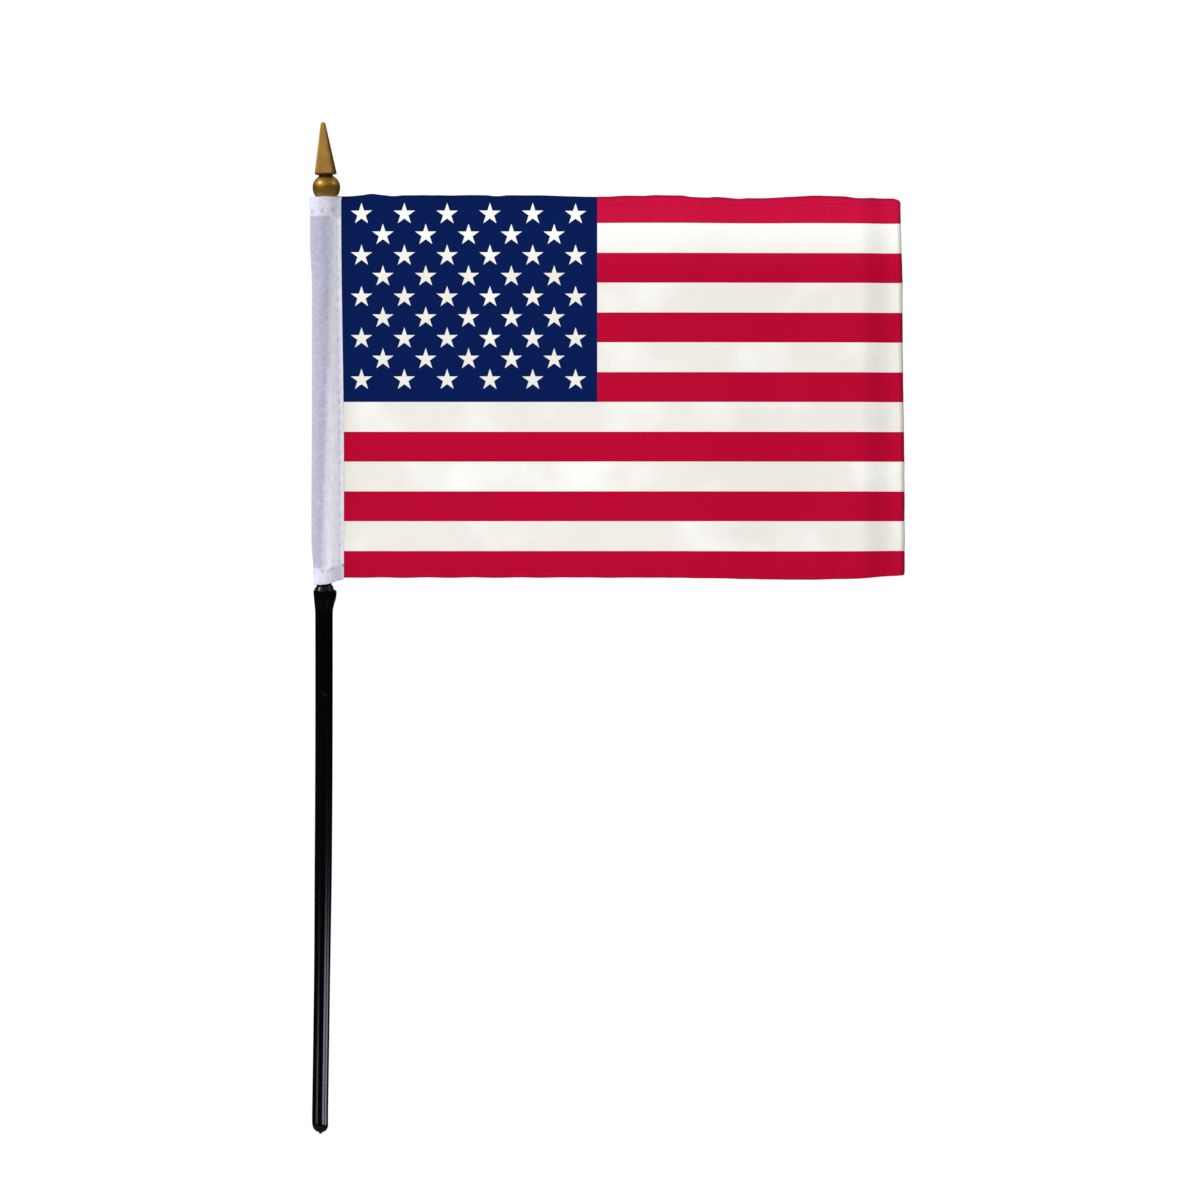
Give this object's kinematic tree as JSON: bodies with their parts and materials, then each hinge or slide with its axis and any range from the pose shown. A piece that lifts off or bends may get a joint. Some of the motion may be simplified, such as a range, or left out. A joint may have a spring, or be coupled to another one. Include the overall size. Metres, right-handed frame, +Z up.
{
  "type": "stick flag",
  "caption": "Small hemmed stars-and-stripes flag on a moulded plastic staff with a stop collar and a pull-off gold spear finial, held in a hand or a desk socket.",
  "frame": {"origin": "centre of the staff's foot, the lowest point of the part", "axes": "+Z up the staff to the spear, +X from the staff towards the fly end of the flag, -Y out of the flag's front"},
  "size_m": [0.1571, 0.0074, 0.2667],
  "materials": {
    "black_plastic": "black, injection moulded, semi-gloss",
    "gold_plastic": "antique gold, vacuum metallised over moulded plastic, satin",
    "sleeve_cloth": "white woven polyester strip, soft",
    "flag_cloth": "printed satin polyester in red, ivory and navy, smooth",
    "thread": "spun polyester sewing thread"
  },
  "bodies": {
    "staff": {"staff": "black_plastic"},
    "finial": {"finial": "gold_plastic"},
    "sleeve": {"sleeve": "sleeve_cloth", "header_seam_needle_thread": "thread", "header_seam_bobbin_thread": "thread", "sleeve_top_needle_thread": "thread", "sleeve_top_bobbin_thread": "thread", "sleeve_bottom_needle_thread": "thread", "sleeve_bottom_bobbin_thread": "thread"},
    "flag": {"flag": "flag_cloth", "top_hem_needle_thread": "thread", "top_hem_bobbin_thread": "thread", "bottom_hem_needle_thread": "thread", "bottom_hem_bobbin_thread": "thread", "fly_hem_needle_thread": "thread", "fly_hem_bobbin_thread": "thread"}
  },
  "joints": [
    {"name": "finial_pull", "type": "slide", "parent": "staff", "child": "finial", "axis": [0, 0, 1], "range_m": [0, 0.0048]},
    {"name": "flag_swivel", "type": "hinge", "parent": "staff", "child": "sleeve", "pos_m": [0, 0, 0.19517], "axis": [0, 0, 1], "continuous": true},
    {"name": "flag_fold", "type": "hinge", "parent": "sleeve", "child": "flag", "pos_m": [0.00508, 0, 0.19521], "axis": [-0.007, 0, 1], "range_deg": [-120, 120]}
  ]
}
